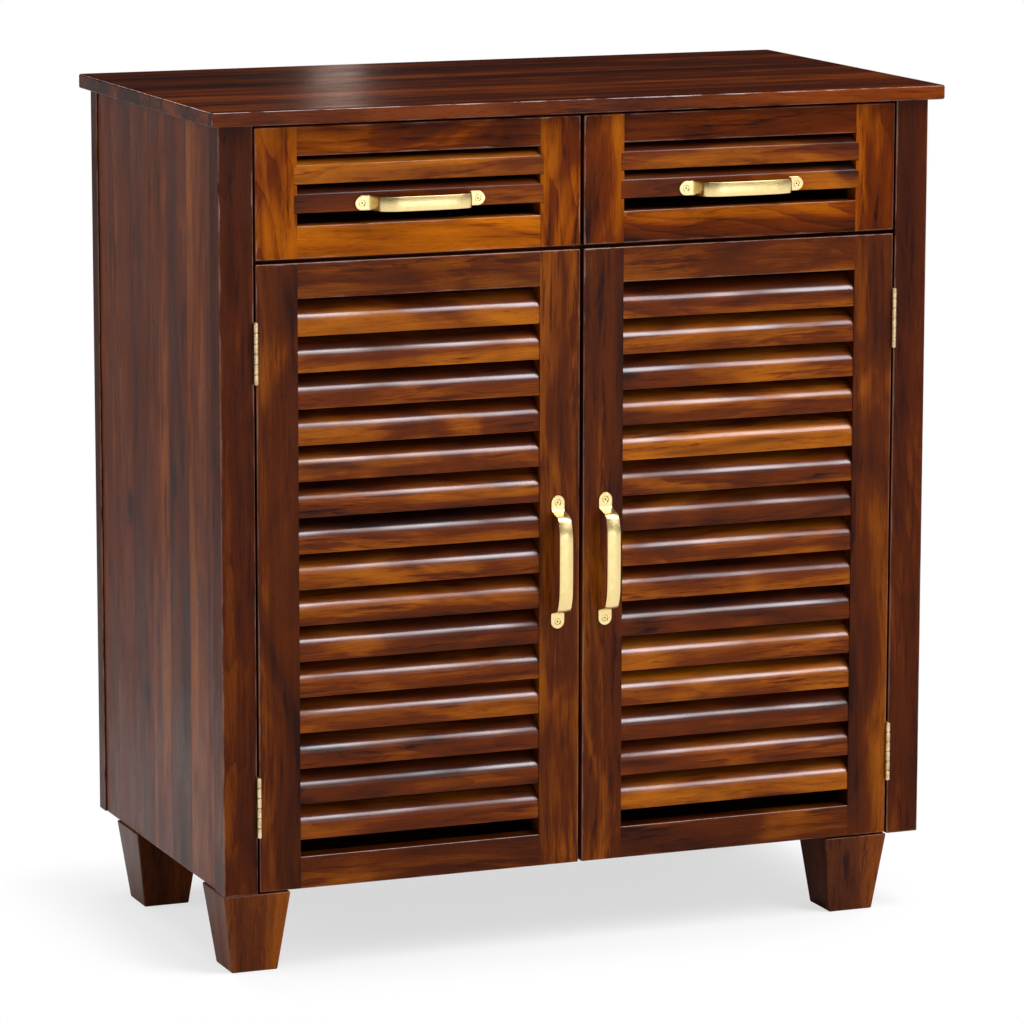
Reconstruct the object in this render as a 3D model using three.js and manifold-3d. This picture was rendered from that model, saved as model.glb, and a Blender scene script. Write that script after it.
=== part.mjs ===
// Louvred door cabinet: two louvred doors under two louvred drawers, on four tapered legs.
// Millimetres, +Z up, the fronts face -Y. The origin is on the floor under the middle of the
// whole cabinet, handles included.

import * as THREE from 'three';
import { mergeVertices } from 'three/addons/utils/BufferGeometryUtils.js';
import Module from 'manifold-3d';

const wasm = await Module();
wasm.setup();

// Overall sizes of the top board and the legs
const width = 820;
const depth = 450;
const height = 900;
const legHeight = 85;

// Top board
const topThickness = 15.5;
const topSideOverhang = 12;
const topFrontOverhang = 16;
const topBackOverhang = 4;

// Posts, panels and boards of the case
const postWidth = 37;
const frontPostDepth = 30;
const backPostDepth = 20;
const sidePanelThickness = 16;
const sidePanelSetBack = 2;
const backPanelThickness = 9;
const backPanelSetBack = 2;
const boardThickness = 16;
const dividerThickness = 14;

// Shelf, held in a groove of each side panel
const shelfThickness = 15;
const shelfRise = 285;
const shelfSetBack = 30;
const shelfGroove = 6;

// Legs: square, tapered alike on all four sides
const legTop = 73;
const legFoot = 50.5;
const backLegSetForward = { left: 63, right: 39 };

// Clearances
const fitGap = 0.3;
const hingeGap = 2.2;
const meetingGap = 4;
const topGap = 3;
const lineGap = 4;
const legGap = 1.8;
const stopGap = 1;
const runningGap = 1;
const overrun = 5;

// Door and drawer fronts
const frontThickness = 22;
const stileWidth = 45;
const drawerFrontHeight = 135.5;
const doorTopRail = 37;
const doorBottomRail = 34;
const drawerTopRail = 30.5;
const drawerBottomRail = 33.5;
const tenonLength = 25;
const tenonThickness = 8;
const tenonShoulder = 5;

// Louvre slats: an upright face with a round nose, sloping up towards the back
const slatTilt = THREE.MathUtils.degToRad(35);
const slatNose = 5;
const slatNoseSteps = 4;
const slatHousing = 3;
const slatHeadroom = 0.8;
const doorSlatFace = 18.5;
const doorSlatCount = 15;
const doorSlatDrop = 2;
const doorSlatSetBack = 1;
const drawerSlatFace = 17;
const drawerSlatCount = 2;

// Hidden strip in a channel of each door stile, which joins the ends of a door's slats
const stripSetBack = 8;
const stripDepth = 6;
const stripWidth = 4;
const stripLap = 1;

// Drawer boxes
const deckLap = 4;
const drawerSideThickness = 12;
const drawerSideHeight = 104;
const drawerRearGap = 37;
const drawerBottomThickness = 6;
const drawerBottomRise = 6;
const drawerBottomGroove = 5;
const drawerBackDrop = 5;
const guideHeight = 25;
const guideLap = 4;

// Handles: a flat strap with two round-ended tabs and a raised grip
const handleLength = 142;
const handleWidth = 15;
const handleThickness = 2;
const handleStandOut = 27;
const handleTab = 17;
const handleRiserRun = 4.5;
const handleShoulderRun = 15;
const handleShoulderDrop = 5;
const handleBow = 1;
const handleBend = 3;
const handleShoulderBend = 9;
const handleBendSteps = 3;
const handleTabSteps = 8;
const handleScrewRadius = 2;
const handleSinkRadius = 3.6;
const doorHandleRise = 326;
const doorHandleOffset = 2.5;

// Butt hinges
const hingeHeight = 64;
const hingeSet = 58.6;
const hingeLeafThickness = 0.9;
const hingeLeafWidth = 18;
const hingeBarrelRadius = 2.4;
const hingePinRadius = 1.1;
const hingeProud = 2.7;
const hingeKnuckles = 6;
const hingeScrews = 3;
const hingeScrewRadius = 1.8;
const roundSteps = 12;
const screwHoleSteps = 8;

// Faces of the case
const caseRight = width / 2 - topSideOverhang;
const caseFront = -depth / 2 + topFrontOverhang;
const caseBack = depth / 2 - topBackOverhang;
const caseTop = height - topThickness;
const openingRight = caseRight - postWidth;
const panelOuter = caseRight - sidePanelSetBack;
const panelInner = panelOuter - sidePanelThickness;
const frontPostBack = caseFront + frontPostDepth;
const backPostFront = caseBack - backPostDepth;
const backPanelBack = caseBack - backPanelSetBack;
const backPanelFront = backPanelBack - backPanelThickness;
const frontBack = caseFront + frontThickness;
const boardFront = frontBack + stopGap;
const floorTop = legHeight + boardThickness;

// Edges of the doors and the drawer fronts
const drawerTop = caseTop - topGap;
const drawerBottom = drawerTop - drawerFrontHeight;
const doorTop = drawerBottom - lineGap;
const doorBottom = legHeight + legGap;
const frontOuter = openingRight - hingeGap;
const frontInner = meetingGap / 2;
const deckTop = drawerBottom + deckLap;
const deckBottom = deckTop - boardThickness;
const drawerBack = backPanelFront - drawerRearGap;

// Middle of the cabinet from the handles to the back edge of the top board
const middleY = (caseFront - handleStandOut + depth / 2) / 2;

const redWood = { color: '#5b2a16', roughness: 0.35, metalness: 0 };
const darkWood = { color: '#43201a', roughness: 0.35, metalness: 0 };
const honeyWood = { color: '#7c3f14', roughness: 0.35, metalness: 0 };
const paleWood = { color: '#8a6a45', roughness: 0.7, metalness: 0 };
const brass = { color: '#dcc07a', roughness: 0.35, metalness: 1 };

const cabinet = new THREE.Group();
cabinet.position.y = -middleY;

function add(name, geometry, finish) {
  const mesh = new THREE.Mesh(geometry, new THREE.MeshStandardMaterial(finish));
  mesh.name = name;
  cabinet.add(mesh);
  return mesh;
}

// A box between two planes along each axis; its corners lie exactly on the planes
function box(x0, x1, y0, y1, z0, z1) {
  const geometry = new THREE.BoxGeometry(1, 1, 1);
  const place = geometry.attributes.position;
  for (let i = 0; i < place.count; i++) {
    const x = place.getX(i) < 0 ? Math.min(x0, x1) : Math.max(x0, x1);
    const y = place.getY(i) < 0 ? Math.min(y0, y1) : Math.max(y0, y1);
    const z = place.getZ(i) < 0 ? Math.min(z0, z1) : Math.max(z0, z1);
    place.setXYZ(i, x, y, z);
  }
  geometry.computeVertexNormals();
  return geometry;
}

// An outline extruded from w0 to w1; its (u, v, w) lie along the axes given as letters
function prism(outline, w0, w1, axes) {
  const shape = new THREE.Shape(outline.map(([u, v]) => new THREE.Vector2(u, v)));
  const geometry = new THREE.ExtrudeGeometry(shape, { depth: 1, bevelEnabled: false });
  const place = geometry.attributes.position;
  for (let i = 0; i < place.count; i++) {
    const along = {};
    along[axes[0]] = place.getX(i);
    along[axes[1]] = place.getY(i);
    along[axes[2]] = place.getZ(i) < 0.5 ? Math.min(w0, w1) : Math.max(w0, w1);
    place.setXYZ(i, along.x, along.y, along.z);
  }
  geometry.computeVertexNormals();
  return geometry;
}

function rod(radius, x, y, z0, z1) {
  const geometry = new THREE.CylinderGeometry(radius, radius, z1 - z0, roundSteps);
  geometry.rotateX(Math.PI / 2);
  geometry.translate(x, y, (z0 + z1) / 2);
  return geometry;
}

function solid(geometry) {
  const bare = geometry.clone();
  bare.deleteAttribute('normal');
  bare.deleteAttribute('uv');
  const merged = mergeVertices(bare);
  return new wasm.Manifold(new wasm.Mesh({
    numProp: 3,
    vertProperties: new Float32Array(merged.attributes.position.array),
    triVerts: new Uint32Array(merged.index.array),
  }));
}

function surface(manifold) {
  const mesh = manifold.getMesh();
  const geometry = new THREE.BufferGeometry();
  geometry.setAttribute('position', new THREE.BufferAttribute(mesh.vertProperties, 3));
  geometry.setIndex(new THREE.BufferAttribute(mesh.triVerts, 1));
  geometry.computeVertexNormals();
  return geometry;
}

function join(geometries) {
  return geometries.map(solid).reduce((whole, part) => whole.add(part));
}

function cut(geometry, cutters) {
  if (cutters.length === 0) {
    return geometry;
  }
  return surface(solid(geometry).subtract(join(cutters)));
}

// Section of a slat in (y, z) from its lower front edge, grown by a clearance all round
function slatSection(y, z, face, reach, grow) {
  const radius = slatNose + grow;
  const rise = Math.tan(slatTilt);
  const under = -grow / Math.cos(slatTilt);
  const back = reach + grow;
  const noseY = slatNose - radius * Math.sin(slatTilt);
  const noseZ = face + radius * Math.cos(slatTilt);
  const points = [
    [-grow, under - grow * rise],
    [back, under + back * rise],
    [back, noseZ + (back - noseY) * rise],
  ];
  for (let i = 0; i <= slatNoseSteps; i++) {
    const angle = Math.PI / 2 + slatTilt + (Math.PI / 2 - slatTilt) * (i / slatNoseSteps);
    points.push([slatNose + radius * Math.cos(angle), face + radius * Math.sin(angle)]);
  }
  return points.map(([u, v]) => [y + u, z + v]);
}

// Lower front edges of evenly spread slats, and how deep a slat can be under the top rail
function slatLayout(low, high, face, count, drop, setBack) {
  const gap = (high - low - count * face) / (count + 1);
  const rows = [];
  for (let i = 0; i < count; i++) {
    rows.push(low + gap - drop + i * (face + gap));
  }
  const room = gap + drop - slatNose * Math.cos(slatTilt) - slatHeadroom;
  const reach = room / Math.tan(slatTilt) + slatNose * (1 - Math.sin(slatTilt));
  return { rows, face, front: caseFront + setBack, reach: Math.min(frontThickness - setBack, reach) };
}

const doorLow = doorBottom + doorBottomRail;
const doorHigh = doorTop - doorTopRail;
const drawerLow = drawerBottom + drawerBottomRail;
const drawerHigh = drawerTop - drawerTopRail;
const doorSlats = slatLayout(doorLow, doorHigh, doorSlatFace, doorSlatCount, doorSlatDrop, doorSlatSetBack);
const drawerSlats = slatLayout(drawerLow, drawerHigh, drawerSlatFace, drawerSlatCount, 0, 0);

// Strip that runs behind the slat ends; grow is its clearance in the channel
function strip(edge, towards, slats, grow) {
  const near = edge + towards * (slatHousing - stripLap - grow);
  const far = edge + towards * (slatHousing + stripWidth + grow);
  const front = caseFront + stripSetBack;
  const low = slats.rows[0] + slats.face / 2;
  const high = slats.rows[slats.rows.length - 1] + slats.face;
  return box(near, far, front - grow, front + stripDepth + grow, low - grow, high + grow);
}

// Stub tenon of a rail, or its mortise when it has a clearance
function tenon(edge, towards, low, high, grow) {
  const front = caseFront + (frontThickness - tenonThickness) / 2;
  return box(
    edge - towards * overrun, edge + towards * (tenonLength + grow),
    front - grow, front + tenonThickness + grow,
    low + tenonShoulder - grow, high - tenonShoulder + grow,
  );
}

function rail(inner, outer, low, high) {
  const body = box(inner, outer, caseFront, frontBack, low, high);
  const towards = Math.sign(outer - inner);
  return surface(join([body, tenon(inner, -towards, low, high, 0), tenon(outer, towards, low, high, 0)]));
}

// Stile from its outer edge to the edge that meets the rails, with mortises and housings
function stile(outer, edge, low, high, lowRail, highRail, slats, hasStrip) {
  const towards = Math.sign(outer - edge);
  const cutters = [
    tenon(edge, towards, low, lowRail, fitGap),
    tenon(edge, towards, highRail, high, fitGap),
  ];
  for (const row of slats.rows) {
    const section = slatSection(slats.front, row, slats.face, slats.reach, fitGap);
    const housing = prism(section, edge - towards * overrun, edge + towards * (slatHousing + fitGap), 'yzx');
    cutters.push(housing);
  }
  if (hasStrip) {
    cutters.push(strip(edge, towards, slats, fitGap));
  }
  return cut(box(outer, edge, caseFront, frontBack, low, high), cutters);
}

function slat(inner, outer, row, slats) {
  const side = Math.sign(outer - inner);
  const section = slatSection(slats.front, row, slats.face, slats.reach, 0);
  return prism(section, inner - side * slatHousing, outer + side * slatHousing, 'yzx');
}

// Corner fillets of a path of [s, h] points, with one radius for each inner point
function roundedPath(points, radii) {
  const path = [new THREE.Vector2(...points[0])];
  for (let i = 1; i < points.length - 1; i++) {
    const corner = new THREE.Vector2(...points[i]);
    const back = new THREE.Vector2(...points[i - 1]).sub(corner);
    const ahead = new THREE.Vector2(...points[i + 1]).sub(corner);
    const turn = Math.PI - back.angleTo(ahead);
    const length = radii[i - 1] * Math.tan(turn / 2);
    const start = corner.clone().addScaledVector(back.normalize(), length);
    const end = corner.clone().addScaledVector(ahead.normalize(), length);
    const curve = new THREE.QuadraticBezierCurve(start, corner, end);
    path.push(...curve.getPoints(handleBendSteps));
  }
  path.push(new THREE.Vector2(...points[points.length - 1]));
  return path;
}

// Both sides of a strap of even thickness along a path
function strapOutline(path, thickness) {
  const left = [];
  const right = [];
  for (let i = 0; i < path.length; i++) {
    const before = path[Math.max(i - 1, 0)];
    const after = path[Math.min(i + 1, path.length - 1)];
    const ahead = after.clone().sub(before).normalize();
    const side = new THREE.Vector2(-ahead.y, ahead.x).multiplyScalar(thickness / 2);
    left.push(path[i].clone().add(side));
    right.push(path[i].clone().sub(side));
  }
  return [...right, ...left.reverse()];
}

// Handle in its own frame: x along its length, y across its width, z out from the wood
function handleSolid() {
  const end = handleLength / 2;
  const low = handleThickness / 2;
  const high = handleStandOut - handleThickness / 2;
  const half = [
    [-end, low],
    [-end + handleTab, low],
    [-end + handleTab + handleRiserRun, high - handleBow - handleShoulderDrop],
    [-end + handleTab + handleRiserRun + handleShoulderRun, high - handleBow],
  ];
  const points = [...half, [0, high], ...half.map(([s, h]) => [-s, h]).reverse()];
  const bends = [handleBend, handleBend, handleShoulderBend];
  const path = roundedPath(points, [...bends, handleShoulderBend, ...bends.slice().reverse()]);
  const profile = strapOutline(path, handleThickness).map((point) => [point.y, point.x]);
  const strap = prism(profile, -handleWidth / 2, handleWidth / 2, 'zxy');
  const plan = [];
  const radius = handleWidth / 2;
  for (const side of [1, -1]) {
    for (let i = 0; i <= handleTabSteps; i++) {
      const angle = Math.PI * (i / handleTabSteps - 1 / 2);
      plan.push([side * (end - radius + radius * Math.cos(angle)), side * radius * Math.sin(angle)]);
    }
  }
  const rounded = prism(plan, -overrun, handleStandOut + overrun, 'xyz');
  let whole = solid(strap).intersect(solid(rounded));
  for (const side of [-1, 1]) {
    const sink = new THREE.CylinderGeometry(
      2 * handleSinkRadius - handleScrewRadius, handleScrewRadius,
      2 * handleThickness, roundSteps,
    );
    sink.rotateX(Math.PI / 2);
    sink.translate(side * (end - radius), 0, handleThickness);
    const bore = rod(handleScrewRadius, side * (end - radius), 0, -overrun, handleThickness + overrun);
    whole = whole.subtract(solid(sink)).subtract(solid(bore));
  }
  return whole;
}

// Handle placed with its length along one axis and its back on the face of the fronts
function handle(x, z, upright) {
  const geometry = surface(handleSolid());
  const along = upright ? new THREE.Vector3(0, 0, 1) : new THREE.Vector3(1, 0, 0);
  const out = new THREE.Vector3(0, -1, 0);
  const across = out.clone().cross(along);
  geometry.applyMatrix4(new THREE.Matrix4().makeBasis(along, across, out));
  geometry.translate(x, caseFront, z);
  return geometry;
}

// One leaf of a butt hinge: a plate with screw holes and every second knuckle
function hingeLeaf(side, z0, face, isDoorLeaf) {
  const axisX = side * (openingRight - hingeGap / 2);
  const axisY = caseFront - hingeProud;
  const inward = face - side * (isDoorLeaf ? -1 : 1) * hingeLeafThickness;
  const plateFront = axisY + hingeBarrelRadius + fitGap;
  const plateBack = caseFront + hingeLeafWidth;
  const pieces = [box(face, inward, plateFront, plateBack, z0, z0 + hingeHeight)];
  const bores = [];
  const share = hingeHeight / hingeKnuckles;
  for (let i = isDoorLeaf ? 1 : 0; i < hingeKnuckles; i += 2) {
    const low = z0 + i * share + fitGap / 2;
    const high = z0 + (i + 1) * share - fitGap / 2;
    pieces.push(rod(hingeBarrelRadius, axisX, axisY, low, high));
    pieces.push(box(face, inward, axisY + hingeBarrelRadius / 2, plateFront + fitGap, low, high));
  }
  if (isDoorLeaf) {
    bores.push(rod(hingePinRadius + fitGap, axisX, axisY, z0 - overrun, z0 + hingeHeight + overrun));
  } else {
    pieces.push(rod(hingePinRadius, axisX, axisY, z0 + fitGap, z0 + hingeHeight - fitGap));
  }
  for (let i = 0; i < hingeScrews; i++) {
    const hole = new THREE.CylinderGeometry(hingeScrewRadius, hingeScrewRadius, 2 * overrun, screwHoleSteps);
    hole.rotateZ(Math.PI / 2);
    hole.translate(face, (plateFront + plateBack) / 2, z0 + hingeHeight * (i + 1 / 2) / hingeScrews);
    bores.push(hole);
  }
  return surface(join(pieces).subtract(join(bores)));
}

// Outline of a board that fills the case from behind the fronts to the back panel
function boardOutline() {
  const right = [
    [openingRight, boardFront],
    [openingRight, frontPostBack],
    [panelInner, frontPostBack],
    [panelInner, backPostFront],
    [openingRight, backPostFront],
    [openingRight, backPanelFront],
  ];
  return [...right, ...right.map(([x, y]) => [-x, y]).reverse()];
}

// Top board
add('top_board', box(-width / 2, width / 2, -depth / 2, depth / 2, caseTop, height), redWood);

// Posts, side panels, drawer guides
const shelfLow = floorTop + shelfRise;
const shelfHigh = shelfLow + shelfThickness;
const shelfFront = frontBack + shelfSetBack;
for (const [side, word] of [[-1, 'left'], [1, 'right']]) {
  const outer = side * caseRight;
  const inner = side * openingRight;
  add('front_post_' + word, box(outer, inner, caseFront, frontPostBack, legHeight, caseTop), darkWood);
  add('back_post_' + word, box(outer, inner, backPostFront, caseBack, legHeight, caseTop), darkWood);
  const panel = box(side * panelOuter, side * panelInner, frontPostBack, backPostFront, legHeight, caseTop);
  const groove = box(
    side * (panelInner - overrun), side * (panelInner + shelfGroove + fitGap),
    shelfFront - fitGap, backPostFront + overrun,
    shelfLow - fitGap, shelfHigh + fitGap,
  );
  add('side_panel_' + word, cut(panel, [groove]), redWood);
  const guideInner = side * (openingRight - guideLap);
  const guideTop = deckTop + guideHeight;
  const guide = box(side * panelInner, guideInner, frontPostBack, backPostFront, deckTop, guideTop);
  add('drawer_guide_' + word, guide, paleWood);
}

// Back panel, floor board, drawer deck, divider, shelf
const backBoard = box(-openingRight, openingRight, backPanelFront, backPanelBack, legHeight, caseTop);
add('back_panel', backBoard, redWood);
add('floor_board', prism(boardOutline(), legHeight, floorTop, 'xyz'), redWood);
add('drawer_deck', prism(boardOutline(), deckBottom, deckTop, 'xyz'), redWood);
const dividerHalf = dividerThickness / 2;
add('drawer_divider', box(-dividerHalf, dividerHalf, boardFront, backPanelFront, deckTop, caseTop), paleWood);
const shelfEnd = panelInner + shelfGroove;
add('shelf', box(-shelfEnd, shelfEnd, shelfFront, backPostFront - fitGap, shelfLow, shelfHigh), redWood);

// Leg from its top corner nearest the front and left, tapered to the foot
function leg(x, y) {
  const geometry = box(x, x + legTop, y, y + legTop, 0, legHeight);
  const place = geometry.attributes.position;
  const middle = new THREE.Vector2(x + legTop / 2, y + legTop / 2);
  for (let i = 0; i < place.count; i++) {
    if (place.getZ(i) < legHeight / 2) {
      place.setX(i, middle.x + Math.sign(place.getX(i) - middle.x) * legFoot / 2);
      place.setY(i, middle.y + Math.sign(place.getY(i) - middle.y) * legFoot / 2);
    }
  }
  geometry.computeVertexNormals();
  return geometry;
}

// Legs: the left ones stand flush with the case's side, the right ones one post further in
const legBackY = (word) => caseBack - backLegSetForward[word] - legTop;
add('front_leg_left', leg(-caseRight, caseFront), darkWood);
add('front_leg_right', leg(openingRight - legTop, caseFront), darkWood);
add('back_leg_left', leg(-caseRight, legBackY('left')), darkWood);
add('back_leg_right', leg(openingRight - legTop, legBackY('right')), darkWood);

// Doors with their hinges
const hingeRows = { lower: doorBottom + hingeSet, upper: doorTop - hingeSet - hingeHeight };
for (const [side, word] of [[-1, 'left'], [1, 'right']]) {
  const outer = side * frontOuter;
  const inner = side * frontInner;
  const outerEdge = side * (frontOuter - stileWidth);
  const innerEdge = side * (frontInner + stileWidth);
  const name = 'door_' + word + '_';
  const hung = stile(outer, outerEdge, doorBottom, doorTop, doorLow, doorHigh, doorSlats, true);
  const locked = stile(inner, innerEdge, doorBottom, doorTop, doorLow, doorHigh, doorSlats, true);
  add(name + 'hinge_stile', hung, redWood);
  add(name + 'lock_stile', locked, darkWood);
  add(name + 'top_rail', rail(innerEdge, outerEdge, doorHigh, doorTop), redWood);
  add(name + 'bottom_rail', rail(innerEdge, outerEdge, doorBottom, doorLow), darkWood);
  const louvres = doorSlats.rows.map((row) => slat(innerEdge, outerEdge, row, doorSlats));
  louvres.push(strip(outerEdge, side, doorSlats, 0));
  louvres.push(strip(innerEdge, -side, doorSlats, 0));
  add(name + 'louvres', surface(join(louvres)), honeyWood);
  const handleX = side * (frontInner + stileWidth / 2 + doorHandleOffset);
  add(name + 'handle', handle(handleX, doorBottom + doorHandleRise, true), brass);
  for (const [row, z] of Object.entries(hingeRows)) {
    add(name + 'hinge_leaf_' + row, hingeLeaf(side, z, outer, true), brass);
    add('case_hinge_leaf_' + word + '_' + row, hingeLeaf(side, z, side * openingRight, false), brass);
  }
}

// Side of a drawer box, with the groove for the bottom; inward is +1 or -1 along X
function drawerSide(x, inward) {
  const low = deckTop + fitGap;
  const grooveLow = low + drawerBottomRise - fitGap;
  const grooveHigh = low + drawerBottomRise + drawerBottomThickness + fitGap;
  const face = x + inward * drawerSideThickness;
  const body = box(x, face, frontBack, drawerBack, low, low + drawerSideHeight);
  const grooveFloor = face - inward * (drawerBottomGroove + fitGap);
  const mouth = face + inward * overrun;
  const groove = box(grooveFloor, mouth, frontBack - overrun, drawerBack + overrun, grooveLow, grooveHigh);
  return cut(body, [groove]);
}

// Drawers
for (const [side, word] of [[-1, 'left'], [1, 'right']]) {
  const outer = side * frontOuter;
  const inner = side * frontInner;
  const outerEdge = side * (frontOuter - stileWidth);
  const innerEdge = side * (frontInner + stileWidth);
  const name = 'drawer_' + word + '_';
  for (const [place, near, edge] of [['outer', outer, outerEdge], ['inner', inner, innerEdge]]) {
    const upright = stile(near, edge, drawerBottom, drawerTop, drawerLow, drawerHigh, drawerSlats, false);
    add(name + place + '_stile', upright, honeyWood);
  }
  add(name + 'top_rail', rail(innerEdge, outerEdge, drawerHigh, drawerTop), redWood);
  add(name + 'bottom_rail', rail(innerEdge, outerEdge, drawerBottom, drawerLow), redWood);
  drawerSlats.rows.forEach((row, i) => {
    add(name + 'slat_' + (i + 1), slat(innerEdge, outerEdge, row, drawerSlats), honeyWood);
  });
  const handleZ = drawerSlats.rows[0] + drawerSlatFace / 2;
  add(name + 'handle', handle((outer + inner) / 2, handleZ, false), brass);
  const outerSide = side * (openingRight - guideLap - runningGap);
  const innerSide = side * (dividerHalf + runningGap);
  add(name + 'outer_side', drawerSide(outerSide, -side), paleWood);
  add(name + 'inner_side', drawerSide(innerSide, side), paleWood);
  const low = deckTop + fitGap + drawerBottomRise;
  const high = low + drawerBottomThickness;
  const leftWall = innerSide + side * drawerSideThickness;
  const rightWall = outerSide - side * drawerSideThickness;
  const bottom = box(
    leftWall - side * drawerBottomGroove, rightWall + side * drawerBottomGroove,
    frontBack, drawerBack, low, high,
  );
  add(name + 'bottom', bottom, paleWood);
  const backHigh = deckTop + fitGap + drawerSideHeight - drawerBackDrop;
  const backFront = drawerBack - drawerSideThickness;
  add(name + 'back', box(leftWall, rightWall, backFront, drawerBack, high, backHigh), paleWood);
}

export default cabinet;
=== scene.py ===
# Louvred door cabinet in polished dark hardwood with brass handles and butt hinges.
# Metres, +Z up, the fronts face -Y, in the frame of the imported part.
import math
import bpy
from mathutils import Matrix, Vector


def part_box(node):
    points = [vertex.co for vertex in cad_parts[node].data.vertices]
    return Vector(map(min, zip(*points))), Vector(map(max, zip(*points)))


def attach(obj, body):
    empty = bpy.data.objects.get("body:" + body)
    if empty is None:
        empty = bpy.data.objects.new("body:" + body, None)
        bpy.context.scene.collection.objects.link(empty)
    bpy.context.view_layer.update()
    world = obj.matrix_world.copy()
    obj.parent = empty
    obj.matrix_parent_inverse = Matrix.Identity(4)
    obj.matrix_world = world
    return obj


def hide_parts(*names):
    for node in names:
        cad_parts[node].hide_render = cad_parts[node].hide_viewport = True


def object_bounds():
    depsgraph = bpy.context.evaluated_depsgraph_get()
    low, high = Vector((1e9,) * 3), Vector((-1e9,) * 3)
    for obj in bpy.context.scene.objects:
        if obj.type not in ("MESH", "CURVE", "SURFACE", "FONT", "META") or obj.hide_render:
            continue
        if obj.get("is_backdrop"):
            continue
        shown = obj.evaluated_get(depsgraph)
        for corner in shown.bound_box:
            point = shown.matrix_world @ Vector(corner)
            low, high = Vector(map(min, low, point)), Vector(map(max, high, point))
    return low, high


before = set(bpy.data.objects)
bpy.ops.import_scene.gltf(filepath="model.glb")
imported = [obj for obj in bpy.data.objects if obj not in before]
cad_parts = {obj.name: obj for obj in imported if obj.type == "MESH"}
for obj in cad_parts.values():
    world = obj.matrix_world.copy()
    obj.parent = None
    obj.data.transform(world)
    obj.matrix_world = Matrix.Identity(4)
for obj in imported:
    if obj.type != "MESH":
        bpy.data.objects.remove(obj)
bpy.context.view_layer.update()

import zlib
from math import radians

import bmesh
import bpy
import numpy as np
from mathutils import Matrix, Vector

MM = 0.001

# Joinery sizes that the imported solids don't state by themselves
SLAT_TILT = radians(35)
SLAT_NOSE = 5 * MM
SLAT_EASE = 0.7 * MM
SLAT_ROUND_STEPS = 8
SLAT_HOUSING = 3 * MM
SLAT_GLOSS_ONSET = 0.6 * MM
DOOR_SLAT_COUNT = 15
DRAWER_SLAT_COUNT = 2
# Each kind of slat: upright face, nose, gloss there, painted shade at the back, left row's seed
SLAT_KINDS = {
    "door": {"face": 18.5 * MM, "round": 10 * MM, "gloss": 1.0, "shade": 0.72, "seed": 21},
    "drawer": {"face": 17 * MM, "round": 2.6 * MM, "gloss": 0.5, "shade": 1.6, "seed": 31},
}

# Ease of the arrises
BOARD_EASE = 1.2 * MM
TOP_EASE = 2.2 * MM
LEG_EASE = 1.6 * MM
BOX_EASE = 0.6 * MM
LEAF_EASE = 0.12 * MM
EASE_STEPS = 3
JOINT_REACH = 50 * MM

# Strap handles
HANDLE_LENGTH = 142 * MM
HANDLE_WIDTH = 15 * MM
HANDLE_THICK = 2 * MM
HANDLE_OUT = 27 * MM
HANDLE_TAB = 17 * MM
RISER_RUN = 4.5 * MM
SHOULDER_RUN = 15 * MM
SHOULDER_DROP = 5 * MM
GRIP_BOW = 1 * MM
TAB_BEND = 3 * MM
KNEE_BEND = 9 * MM
SHOULDER_BEND = 46 * MM
GRIP_BEND = 900 * MM
BEND_STEPS = 10
STRAP_ROUND = 0.5 * MM
STRAP_ROUND_STEPS = 4
STRAP_CROWN = 0.7 * MM
CROWN_STEPS = 8
TIP_ANGLES = (6, 14, 24, 36, 48, 60, 72, 84, 90)
SINK_RADIUS = 3.7 * MM
SCREW_BORE = 2 * MM

# Butt hinges
BARREL_RADIUS = 2.4 * MM
BARREL_CHAMFER = 0.3 * MM
PIN_RADIUS = 1.1 * MM
PIN_PLAY = 0.1 * MM
PIN_DOME = 0.35 * MM
LEAF_THICK = 0.9 * MM
KNUCKLES = 6
KNUCKLE_GAP = 0.7 * MM
HINGE_SCREWS = 3
TURNED_STEPS = 32

# Countersunk screws
SCREW_HEAD = 2.9 * MM
SCREW_DEPTH = 1.3 * MM
SCREW_SUNK = 0.7 * MM
SCREW_SLOT = 0.8 * MM
SCREW_SLOT_LENGTH = 2.2 * MM
SCREW_SLOT_DEPTH = 0.9 * MM
SLOT_CORNER = 0.6 * SCREW_SLOT_LENGTH
HINGE_SCREW_SHARE = 0.6
HINGE_SCREW_PROUD = 0.1 * MM

# Angles over which an edge stays sharp, and the tolerances of the clean-up
BOARD_SHARP = radians(5)
METAL_SHARP = radians(30)
CURVED_SHARP = radians(32)
BOX_EDGE = radians(30)
FLAT = radians(0.6)
BOARD_WELD = 0.002 * MM
SLAT_WELD = 0.001 * MM
ON_SIDE = 0.01 * MM
AT_JOINT = 0.1 * MM

# Layers of noise: waves in a metre along, across and through the board, detail, roughness, distortion
LAYERS = {
    "drift": ((2.4, 9, 9), 1.5),
    "streak": ((1.3, 24, 24), 2, 0.5, 0.5),
    "flame": ((5, 15, 15), 2.5, 0.5, 1.6),
    "wobble": ((5, 40, 40), 2),
    "fade": ((3, 14, 14), 1),
    "fibre": ((16, 640, 640), 2, 0.7),
    "pore": ((85, 1500, 1500), 1),
    "stroke": ((14, 170, 170), 3, 0.65, 0.3),
    "gather": ((7, 30, 30), 1.5),
    "smoke": ((4, 60, 60), 2, 0.6),
    "haze": ((9, 22, 22), 3, 0.6),
    "rub": ((30, 90, 90), 3, 0.65),
    "patch": ((11, 60, 60), 1),
}
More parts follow.
